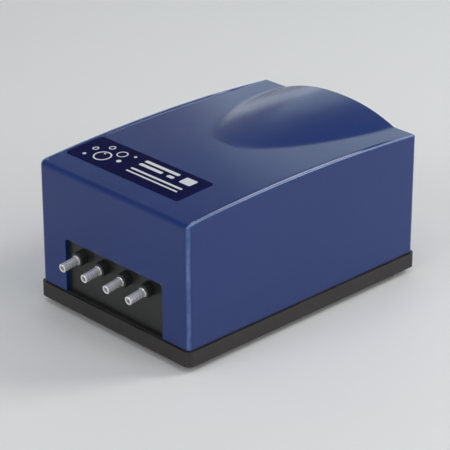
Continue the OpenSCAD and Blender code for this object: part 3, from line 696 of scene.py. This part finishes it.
def outer_top(x, y):
    return deck(y) + hump(x, y) + rim(x, y)


def inner_top(x, y):
    return deck(y) + hump(x, y) - WALL


COLS = [0.9, 1.05, 1.2, 1.35, 1.5, 1.62, 1.75, 1.88, 2.0, 2.15, 2.3, 2.5, 2.7, 2.85, 3.0, 3.15, 3.3, 3.5, 3.7, 4.3, 5.1]
SIDE_X = [HX - d for d in COLS]
MID = [float(v) for v in np.linspace(0, 54.0, 41)[::-1]]
XS = np.array(sorted(set([round(v, 5) for v in SIDE_X + MID] + [-round(v, 5) for v in SIDE_X + MID])))
YS = np.array([-85.5, -85.2, -84.85, -84.5, -84.0, -83.5, -83.0, -82.5] + [float(v) for v in np.linspace(-81.2, 84.4, 128)] + [85.5, 86.0, 86.5, 87.0])


def shell(xs, ys, hx, hy, rc, top, steps):
    """The top grid and the rounded edge rings round it. Returns points, faces and the index of the wall ring."""
    nx, ny = len(xs), len(ys)
    gx, gy = np.meshgrid(xs, ys, indexing="ij")
    points = np.stack([gx, gy, top(gx, gy)], -1).reshape(-1, 3)
    faces = [(i * ny + j, (i + 1) * ny + j, (i + 1) * ny + j + 1, i * ny + j + 1) for i in range(nx - 1) for j in range(ny - 1)]
    loop = [(i, 0) for i in range(nx - 1)] + [(nx - 1, j) for j in range(ny - 1)] + [(i, ny - 1) for i in range(nx - 1, 0, -1)] + [(0, j) for j in range(ny - 1, 0, -1)]
    grid_ring = np.array([i * ny + j for i, j in loop])
    target = []
    for i, j in loop:
        x, y = xs[i], ys[j]
        sx, sy = (1 if x > 0 else -1), (1 if y > 0 else -1)
        ax, ay = abs(x), abs(y)
        ex, ey = abs(xs[-1]), abs(ys[-1] if sy > 0 else ys[0])      # the grid's corner
        cx, cy = hx - rc, hy - rc                                   # the plan arc's centre
        share = max(ey - cy, 0.0) / (max(ey - cy, 0.0) + max(ex - cx, 0.0))
        split = 90 * share
        if ax > cx - 1e-6 and ay > ey - 1e-6:                       # front or rear column in the corner
            a = split + (90 - split) * (ex - ax) / (ex - cx)
            p = (cx + rc * math.cos(math.radians(a)), cy + rc * math.sin(math.radians(a)))
        elif ay > cy - 1e-6 and ax > ex - 1e-6:                     # side row in the corner
            a = split * (ay - cy) / (ey - cy) if ey > cy + 1e-9 else 0.0
            p = (cx + rc * math.cos(math.radians(a)), cy + rc * math.sin(math.radians(a)))
        elif ay > ey - 1e-6:
            p = (ax, hy)
        else:
            p = (hx, ay)
        target.append((sx * p[0] if abs(x) > 1e-9 else 0.0, sy * p[1]))
    target = np.array(target)
    source = points[grid_ring]
    reach = np.linalg.norm(target - source[:, :2], axis=1)
    rings = [grid_ring]
    n = len(grid_ring)
    for k in range(1, steps + 1):
        f = math.radians(90 * (1 - k / steps))
        ring = np.empty((n, 3))
        ring[:, :2] = source[:, :2] + (target - source[:, :2]) * math.cos(f)
        ring[:, 2] = source[:, 2] - reach * (1 - math.sin(f))
        rings.append(np.arange(len(points), len(points) + n))
        points = np.vstack([points, ring])
        a, b = rings[-2], rings[-1]
        faces += [(a[i], a[(i + 1) % n], b[(i + 1) % n], b[i]) for i in range(n)]
    return points, faces, rings[-1]


def build_housing():
    op, of, oring = shell(XS, YS, HX, HY, CORNER, outer_top, 7)
    ihx, ihy, irc = HX - WALL, HY - WALL, 1.6
    ix = np.interp(XS, [-(HX - 0.9), -(HX - CORNER), 0, HX - CORNER, HX - 0.9], [-(ihx - 0.8), -(ihx - irc), 0, ihx - irc, ihx - 0.8])
    iy = np.interp(YS, [-85.5, -84.5, 85.5, 87.0], [-(ihy - 0.8), -(ihy - irc), ihy - irc, ihy - 0.8])
    ip, ifc, iring = shell(ix, iy, ihx, ihy, irc, inner_top, 3)
    k = len(op)
    points = np.vstack([op, ip])
    faces = list(of) + [tuple(i + k for i in f) for f in ifc]
    iring = iring + k
    n = len(oring)
    low_o = np.arange(len(points), len(points) + n)
    low_i = low_o + n
    bo, bi = points[oring].copy(), points[iring].copy()
    bo[:, 2] = 0
    bi[:, 2] = 0
    points = np.vstack([points, bo, bi])
    for a, b in ((oring, low_o), (low_o, low_i), (low_i, iring)):
        faces += [(a[i], a[(i + 1) % n], b[(i + 1) % n], b[i]) for i in range(n)]
    me = tidy(mesh_of("housing", points, faces), 1e-7)
    # front opening, open at the seam, with rounded upper corners, and the cord hole
    arc = [(39.5 - 2.2 + 2.2 * math.cos(math.radians(t)), 32 - 2.2 + 2.2 * math.sin(math.radians(t))) for t in range(0, 91, 15)]
    outline = [(39.5, -3)] + arc + [(-x, z) for x, z in arc[::-1]] + [(-39.5, -3)]
    cut = joined(prism(outline, -HY - 4, -HY + 6, "xzy"), revolved([(0, 0), (4.5, 0), (4.5, 9), (0, 9)], (-34, HY - 5, 15), (0, 1, 0), 48))
    me = boolean(me, tidy(mesh_of("cut", *cut)), "DIFFERENCE")
    # screw bosses, each with a rib to the side wall
    bosses, pilots = [], []
    for sx in (1, -1):
        for sy in (1, -1):
            cx, cy = sx * 51.2, sy * 62
            a0 = math.asin(1 / 3.8)
            ring = [(cx + sx * 3.8 * math.cos(t), cy + 3.8 * math.sin(t)) for t in np.linspace(a0, 2 * math.pi - a0, 33)]
            ring += [(sx * 58.3, cy - 1), (sx * 58.3, cy + 1)]
            low = [(p[0], p[1]) for p in ring[:33]]
            bosses.append(prism(low, -6.5, 4.0))
            bosses.append(prism(ring, 3.5, float(deck(62)) - 1.4))
            pilots.append(revolved([(0, 0), (1.35, 0), (1.35, 14), (0.6, 15), (0, 15)], (cx, cy, -7.5), (0, 0, 1), 24))
    post = tidy(mesh_of("bosses", *joined(*bosses[0::2])))
    post = boolean(post, tidy(mesh_of("ribs", *joined(*bosses[1::2]))), "UNION")
    me = boolean(me, post, "UNION")
    me = boolean(me, tidy(mesh_of("pilots", *joined(*pilots))), "DIFFERENCE")
    # soften the edges of the opening, the cord hole and the foot of the walls
    bm = bmesh.new()
    bm.from_mesh(me)
    layer = bm.edges.layers.float.get("bevel_weight_edge") or bm.edges.layers.float.new("bevel_weight_edge")
    for e in bm.edges:
        if len(e.link_faces) != 2 or e.calc_face_angle(0) < math.radians(50):
            continue
        (x0, y0, z0), (x1, y1, z1) = (np.array(v.co) * 1000 - OFF for v in e.verts)
        front = abs(y0 + HY) < 0.01 and abs(y1 + HY) < 0.01
        rear = abs(y0 - HY) < 0.01 and abs(y1 - HY) < 0.01 and max(z0, z1) < 25
        foot = abs(z0) < 0.01 and abs(z1) < 0.01 and max(abs(x0), abs(y0) - 28) > HX - 1.5
        if front or rear or foot:
            e[layer] = 1.0
    bm.to_mesh(me)
    bm.free()
    me = bevelled(me, 0.35, 3, weights=True)
    return piece("housing_shell", tidy(me, 1e-7), [MATS["housing_blue"]], "pump_body", ["upper_housing"], 38)


def deck_sheet(rows, lo, hi):
    """A thin sheet that follows the deck. rows are (y, left x, right x), from front to back."""
    points, faces = [], []
    for y, a, b in rows:
        z = float(deck(y))
        points += [(a, y, z + lo), (a, y, z + hi), (b, y, z + hi), (b, y, z + lo)]
    for k in range(len(rows) - 1):
        faces += ring_faces(4 * k, 4 * k + 4, 4)
    faces += [(0, 1, 2, 3), tuple(4 * (len(rows) - 1) + i for i in (3, 2, 1, 0))]
    return points, faces


def round_rows(x0, x1, y0, y1, r, corner=7, mid=2):
    ys = [(y0 + r - r * math.cos(t), r - r * math.sin(t)) for t in np.linspace(0, math.pi / 2, corner)]
    rows = [(y, x0 + inset, x1 - inset) for y, inset in ys]
    rows += [(y, x0, x1) for y in np.linspace(y0 + r, y1 - r, mid + 2)[1:-1]]
    return rows + [(y0 + y1 - y, x0 + inset, x1 - inset) for y, inset in ys[::-1]]


def bubble(cx, cy, r, hole=0.0, n=28):
    """A disc or a ring that follows the deck."""
    ring = [(cx + r * math.cos(t), cy + r * math.sin(t)) for t in np.linspace(0, 2 * math.pi, n, endpoint=False)]
    lo, hi = 0.25, 0.41
    if not hole:
        points = [(x, y, float(deck(y)) + lo) for x, y in ring] + [(x, y, float(deck(y)) + hi) for x, y in ring]
        return points, [tuple(range(n - 1, -1, -1)), tuple(range(n, 2 * n))] + ring_faces(0, n, n)
    inner = [(cx + (x - cx) * hole / r, cy + (y - cy) * hole / r) for x, y in ring]
    points = [(x, y, float(deck(y)) + h) for h, loop in ((lo, ring), (hi, ring), (hi, inner), (lo, inner)) for x, y in loop]
    return points, ring_faces(0, n, n) + ring_faces(n, 2 * n, n) + ring_faces(2 * n, 3 * n, n) + ring_faces(3 * n, 0, n)


def build_label():
    """The navy label on the deck, printed with a plain motif of bubbles and bars."""
    plate = bevelled(tidy(mesh_of("plate", *deck_sheet(round_rows(-56.6, 34.0, -72.0, -45.0, 1.5, 7, 22), 0.0, 0.33))), 0.12, 2, 40)
    bars = []
    for x0, x1, y0, y1 in ((-14.0, 13.0, -51.8, -49.4), (-14.0, 4.0, -56.2, -53.8), (-14.0, 26.5, -62.2, -60.6), (-14.0, 26.5, -65.6, -64.4), (18.0, 26.5, -56.2, -49.4), (8.0, 13.0, -56.2, -53.8)):
        bars.append(deck_sheet(round_rows(x0, x1, y0, y1, min(0.8, (y1 - y0) / 2 - 0.05), 6, 5), 0.25, 0.41))
    for cx, cy, r, hole in ((-37.0, -62.0, 5.4, 4.5), (-30.0, -53.5, 3.4, 2.7), (-40.5, -51.5, 2.1, 1.4), (-25.2, -60.5, 1.5, 0), (-47.2, -58.0, 1.9, 1.2), (-22.0, -51.0, 0.9, 0), (-47.0, -66.5, 1.1, 0)):
        bars.append(bubble(cx, cy, r, hole))
    shine = [(-37.0 + 3.0 * math.cos(math.radians(t)), -62.0 + 3.0 * math.sin(math.radians(t))) for t in (110, 160)]
    bars.append(bubble(shine[0][0], shine[0][1], 0.7))
    prints = tidy(mesh_of("prints", *joined(*bars)))
    bm = bmesh.new()
    bm.from_mesh(plate)
    for f in bm.faces:
        f.material_index = 0
    k = len(bm.faces)
    bm.from_mesh(prints)
    bm.faces.ensure_lookup_table()
    for f in bm.faces[k:]:
        f.material_index = 1
    bm.to_mesh(plate)
    bm.free()
    return piece("label_plate", plate, [MATS["label_navy"], PRINT], "pump_body", ["name_label"], 35)


# ------------------------------------------------------------------ outlets
PANEL_BACK = -83.4
NOZZLE_Z, TILT = 25.2, math.radians(8)
NOZZLE_X = (-27.0, -9.0, 9.0, 27.0)
NOZZLE_L = 18.488


def build_nozzles():
    out_axis = (0, -math.cos(TILT), -math.sin(TILT))
    for i, x in enumerate(NOZZLE_X):
        at = (x, PANEL_BACK, NOZZLE_Z)
        lip = [(2.5 - 0.5 + 0.5 * math.cos(t), NOZZLE_L - 0.5 + 0.5 * math.sin(t)) for t in np.linspace(0, math.pi / 2, 6)]
        mouth = [(1.5 + 0.35 - 0.35 * math.sin(t), NOZZLE_L - 0.35 + 0.35 * math.cos(t)) for t in np.linspace(0, math.pi / 2, 5)]
        front = [(1.5, 0.2), (2.8, 0.2), (2.8, 7.95), (2.65, 8.1), (2.5, 8.12)] + lip + mouth + [(1.5, 9.0)]
        back = [(1.5, 1.2), (1.9, 0.9), (1.9, -0.2), (2.8, -0.2), (2.8, 0.0), (4.8, 0.0), (5.0, 0.2), (5.0, 1.4), (4.8, 1.6), (2.5, 1.6), (2.3, 1.8), (2.3, 4), (2.85, 4), (2.85, 4.15), (2.35, 6.5), (2.3, 7.5), (2.85, 7.5), (2.85, 7.65), (2.35, 10), (2.2, 10.7), (1.95, 11), (1.5, 11)]
        me = tidy(mesh_of("nozzle", *joined(revolved(front, at, out_axis, 56), revolved(back, at, (0, 1, 0), 56))))
        n = f"outlet_nozzle_{i + 1}"
        piece(f"nozzle_{i + 1}", me, [MATS["nozzle_metal"]], "pump_body", [n], 32)


def build_panel():
    """The black panel behind the front opening, with four round collars bored through for the nozzles."""
    plate = tidy(mesh_of("panel", *prism(rounded_rect(42.5, 17.5, 1.0, 5, 0, 17.5), -85.9, PANEL_BACK, "xzy")))
    axis = (0, -math.cos(TILT), -math.sin(TILT))
    collars, bores = [], []
    for x in NOZZLE_X:
        at = (x, PANEL_BACK, NOZZLE_Z)
        edge = [(4.2 - 0.6 + 0.6 * math.cos(t), 7.7 - 0.6 + 0.6 * math.sin(t)) for t in np.linspace(0, math.pi / 2, 5)]
        collars.append(revolved([(0, 1.0), (4.2, 1.0)] + edge + [(0, 7.7)], at, axis, 56))
        bores.append(revolved([(0, -3), (2.85, -3), (2.85, 7.45), (3.1, 7.72), (3.1, 12), (0, 12)], at, axis, 56))
    me = boolean(plate, tidy(mesh_of("collars", *joined(*collars))), "UNION")
    me = boolean(me, tidy(mesh_of("bores", *joined(*bores))), "DIFFERENCE")
    me = bevelled(me, 0.3, 2, 50)
    return piece("outlet_plate", tidy(me, 1e-7), [MATS["panel_black"]], "pump_body", ["outlet_panel"], 35)


# ------------------------------------------------------------------ rubber parts
def build_feet():
    for name, x, y in (("front_left", -51, -75), ("front_right", 51, -75), ("rear_left", -51, 75), ("rear_right", 51, 75)):
        low = [(6.2 - 0.7 + 0.7 * math.sin(t), -13 + 0.7 - 0.7 * math.cos(t)) for t in np.linspace(0, math.pi / 2, 6)]
        prof = [(0, -12.5), (3.2, -12.5), (3.7, -13)] + low + [(6.9, -9.9), (6.8, -9.5), (2.95, -9.5), (2.95, -6.5), (3.5, -6.45), (2.4, -5.2), (0, -5.2)]
        me = tidy(mesh_of("foot", *revolved(prof, (x, y, 0), (0, 0, 1), 64)))
        piece(f"rubber_foot_{name}", me, [MATS["foot_rubber"]], "pump_body", [f"foot_{name}"], 35)


def build_gland():
    end = 3.0
    prof = [(3.1, -4.1), (6.0, -4.1), (6.0, -2.6), (4.5, -2.6), (4.5, 0), (6.3, 0), (6.5, 0.2), (6.5, 0.9), (6.2, 1.2), (5.9, 1.25), (5.75, 1.6), (5.55, 1.75), (5.5, 2.1), (5.3, 2.3), (5.25, end - 0.25), (5.0, end), (3.4, end), (3.1, end - 0.3)]
    me = tidy(mesh_of("gland", *revolved(prof, (-34, HY, 15), (0, 1, 0), 56)))
    piece("gland_bush", me, [MATS["seal_black"]], "pump_body", ["cord_gland"], 35)


def build_diaphragms():
    """Rubber rolls between the stud plates and the clamped rim."""
    prof = [(1.55, 17.5), (8.0, 17.5), (9.2, 17.9), (10.4, 19.2), (12.4, 21.9), (13.4, 23.0), (14.6, 23.8), (15.1, 24.0), (18.5, 24.0), (18.5, 26.0), (14.4, 26.0), (13.2, 25.5), (12.2, 24.4), (10.0, 21.7), (8.4, 19.9), (7.2, 19.5), (1.55, 19.5)]
    for side, s in (("right", 1), ("left", -1)):
        me = tidy(mesh_of("diaphragm", *revolved(prof, (0, 0, 32), (s, 0, 0), 72)))
        o = piece(f"{side}_rubber_diaphragm", me, [MATS["diaphragm_rubber"]], None, [f"{side}_diaphragm"], 40, weighted=False)
        BLENDS.append((o, f"{side}_arm", s))


def build_felt():
    """The dust felt: a soft-edged pad, a little crowned where the slots leave it free."""
    hx, hy, cy, z0, z1 = 22.7, 14.7, 26.0, -7.5, -3.5
    rings = []
    for inset, z in ((0.9, z0), (0.35, z0 + 0.2), (0.0, z0 + 0.8), (0.0, z1 - 0.8), (0.35, z1 - 0.2), (0.9, z1)):
        rings.append([(x, y, z) for x, y in rounded_rect(hx - inset, hy - inset, 1.0, 8, 0, cy)])
    n = len(rings[0])
    points = [p for ring in rings for p in ring]
    faces = []
    for k in range(len(rings) - 1):
        faces += ring_faces(k * n, (k + 1) * n, n)
    for first, z, dz in ((0, z0, 0.25), ((len(rings) - 1) * n, z1, -0.25)):
        inner = []
        for f in (0.66, 0.33):
            at = len(points)
            points += [(x * f, cy + (y - cy) * f, z + dz * (1 - f)) for x, y, _ in points[first:first + n]]
            faces += ring_faces(first if f == 0.66 else inner[-1], at, n)
            inner.append(at)
        points.append((0.0, cy, z + dz))
        faces += [(inner[-1] + k, inner[-1] + (k + 1) % n, len(points) - 1) for k in range(n)]
    me = tidy(mesh_of("felt", points, faces))
    piece("felt_pad", me, [MATS["felt_white"]], "pump_body", ["intake_felt"], 50)


BLENDS = []


def build_tubes():
    for i, x in enumerate(NOZZLE_X):
        s = -1 if i < 2 else 1
        up = 1 if i in (0, 3) else -1
        p, q = np.array([x, PANEL_BACK + 2, NOZZLE_Z]), np.array([s * 46.5, -10.0, 32 + 9.0 * up])
        ya, yb = p[1] + 8.5, q[1] - 9
        side = np.array([q[0] - p[0], 0, q[2] - p[2]])
        d = float(np.linalg.norm(side))
        u = side / d
        run = yb - ya
        turn = 2 * math.atan(d / run)
        bend = run / (2 * math.sin(turn))
        path = [(0.0, p[1] - ya, 0.0), (0.0, (p[1] - ya) / 2, 0.0)]
        path += [(bend * (1 - math.cos(a)), bend * math.sin(a), a) for a in np.linspace(0, turn, 13)]
        path += [(d - bend * (1 - math.cos(a)), run - bend * math.sin(a), a) for a in np.linspace(turn, 0, 13)[1:]]
        path += [(d, run + (q[1] - yb) / 2, 0.0), (d, run + q[1] - yb, 0.0)]
        m = 32
        w = np.array([0, 1.0, 0])
        t = np.linspace(0, 2 * math.pi, m, endpoint=False)
        points, n = [], len(path)
        for r in (4.3, 3.0):
            for c, v, a in path:
                centre = np.array([p[0], ya, p[2]]) + u * c + w * v
                across = u * math.cos(a) - w * math.sin(a)
                third = np.cross(u, w)
                for tk in t:
                    points.append(centre + across * (r * math.cos(tk)) + third * (r * math.sin(tk)))
        faces = []
        for k in range(n - 1):
            faces += ring_faces(k * m, (k + 1) * m, m)
            faces += ring_faces((n + k) * m, (n + k + 1) * m, m)
        faces += ring_faces(0, n * m, m) + ring_faces((n - 1) * m, (2 * n - 1) * m, m)
        me = bevelled(tidy(mesh_of("tube", points, faces)), 0.2, 2, 60)
        piece(f"soft_tube_{i + 1}", me, [MATS["tube_grey"]], "pump_body", [f"air_tube_{i + 1}"], 40)


build_housing()
build_label()
build_nozzles()
build_panel()
build_feet()
build_gland()
build_diaphragms()
build_tubes()
build_felt()
REPLACED = {"intake_felt", "upper_housing", "name_label", "outlet_panel", "cord_gland", "right_diaphragm", "left_diaphragm",
            "foot_front_left", "foot_front_right", "foot_rear_left", "foot_rear_right",
            "outlet_nozzle_1", "outlet_nozzle_2", "outlet_nozzle_3", "outlet_nozzle_4", "air_tube_1", "air_tube_2", "air_tube_3", "air_tube_4"}
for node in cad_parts:
    if node not in REPLACED:
        polish(node)
for o, arm, s in BLENDS:
    tuple(to_frame([(s * 19.6, 0, 32)])[0])
    tuple(to_frame([(s * 24.0, 0, 32)])[0])
    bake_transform(o)


# ------------------------------------------------------------------ floor, light and camera
def floor_material():
    m = Mat("floor_pale", (0.91, 0.91, 0.90), 0.6)
    m.set("Base Color", m.mixed(m.ranged(m.noise(3.0, 4), 0.3, 0.7, 0, 1), (0.90, 0.90, 0.895), (0.92, 0.92, 0.915)))
    m.normal(m.bump(m.noise(900, 3), 0.03, 0.05))
    return m.m


floor_me = bpy.data.meshes.new("floor")
floor_me.from_pydata([(-3, -3, 0), (3, -3, 0), (3, 3, 0), (-3, 3, 0)], [], [(0, 1, 2, 3)])
floor = bpy.data.objects.new("floor", floor_me)
floor_me.materials.append(floor_material())
scene.collection.objects.link(floor)
floor.location.z = CAD_BOX[0][2] - 0.0002

world = bpy.data.worlds.new("studio")
scene.world = world
world.use_nodes = True
wn = world.node_tree
wn.nodes.clear()
w_out = wn.nodes.new("ShaderNodeOutputWorld")
w_bg = wn.nodes.new("ShaderNodeBackground")
w_bg.inputs["Color"].default_value = (0.95, 0.965, 1.0, 1)
w_co = wn.nodes.new("ShaderNodeTexCoord")
w_z = wn.nodes.new("ShaderNodeSeparateXYZ")
w_ramp = wn.nodes.new("ShaderNodeMapRange")
for key, value in (("From Min", 0.05), ("From Max", 0.62), ("To Min", 0.64), ("To Max", 0.22)):
    w_ramp.inputs[key].default_value = value
wn.links.new(w_co.outputs["Generated"], w_z.inputs[0])
wn.links.new(w_z.outputs[2], w_ramp.inputs["Value"])
wn.links.new(w_ramp.outputs[0], w_bg.inputs["Strength"])
wn.links.new(w_bg.outputs[0], w_out.inputs[0])

CENTRE = Vector((0, 0.005, 0.045))


def softbox(name, azimuth, elevation, distance, width, height, watts, color=(1, 1, 1)):
    """A rectangular lamp that faces the pump. Azimuth runs like the camera's."""
    a, e = math.radians(azimuth), math.radians(elevation)
    back = Vector((math.sin(a) * math.cos(e), -math.cos(a) * math.cos(e), math.sin(e)))
    data = bpy.data.lights.new(name, "AREA")
    data.shape, data.size, data.size_y, data.energy, data.color = "RECTANGLE", width, height, watts, color
    o = bpy.data.objects.new(name, data)
    scene.collection.objects.link(o)
    o.location = CENTRE + back * distance
    o.rotation_euler = back.to_track_quat("Z", "Y").to_euler()
    return o


softbox("key", 146, 40, 1.45, 0.45, 0.45, 6.5)
softbox("side", 96, 30, 1.6, 1.0, 0.7, 4.5)
softbox("top", 10, 80, 1.5, 1.2, 1.2, 3.4)
softbox("back_right_low", 211.0, 18.0, 1.5, 0.77, 0.56, 0.85, (0.70, 0.92, 1.0))
softbox("back_left_low", 236, 12.0, 1.5, 0.60, 0.26, 0.42, (0.85, 0.95, 1.0))
softbox("front_fill", -2, 32, 1.6, 0.9, 0.8, 4.9, (0.90, 0.95, 1.0))

AZ, EL, DIST = math.radians(46.07), math.radians(25.19), 1.258
view_back = Vector((math.sin(AZ) * math.cos(EL), -math.cos(AZ) * math.cos(EL), math.sin(EL)))
cam_data = bpy.data.cameras.new("camera")
camera = bpy.data.objects.new("camera", cam_data)
scene.collection.objects.link(camera)
scene.camera = camera
lo, hi = (Vector(v) for v in CAD_BOX)
DECK_TOP = float(deck(0) + OFF[2]) * 0.001
right = Vector((math.cos(AZ), math.sin(AZ), 0))
up = view_back.cross(right)
aim = (lo + hi) / 2
for _ in range(6):
    eye = aim + view_back * DIST
    spots = []
    for x in (lo.x, hi.x):
        for y in (lo.y + 0.008, hi.y - 0.0015):
            for z in (lo.z, DECK_TOP):
                v = Vector((x, y, z)) - eye
                depth = -v.dot(view_back)
                spots.append((v.dot(right) / depth, v.dot(up) / depth))
    us, vs = [s[0] for s in spots], [s[1] for s in spots]
    aim += right * ((max(us) + min(us)) / 2 * DIST) + up * ((max(vs) + min(vs)) / 2 * DIST)
camera.location = aim + view_back * DIST
camera.rotation_euler = view_back.to_track_quat("Z", "Y").to_euler()
cam_data.sensor_width = 36.0
cam_data.lens = 36.0 * 0.87 / (max(us) - min(us))
cam_data.clip_start, cam_data.clip_end = 0.05, 20.0

bpy.context.view_layer.update()
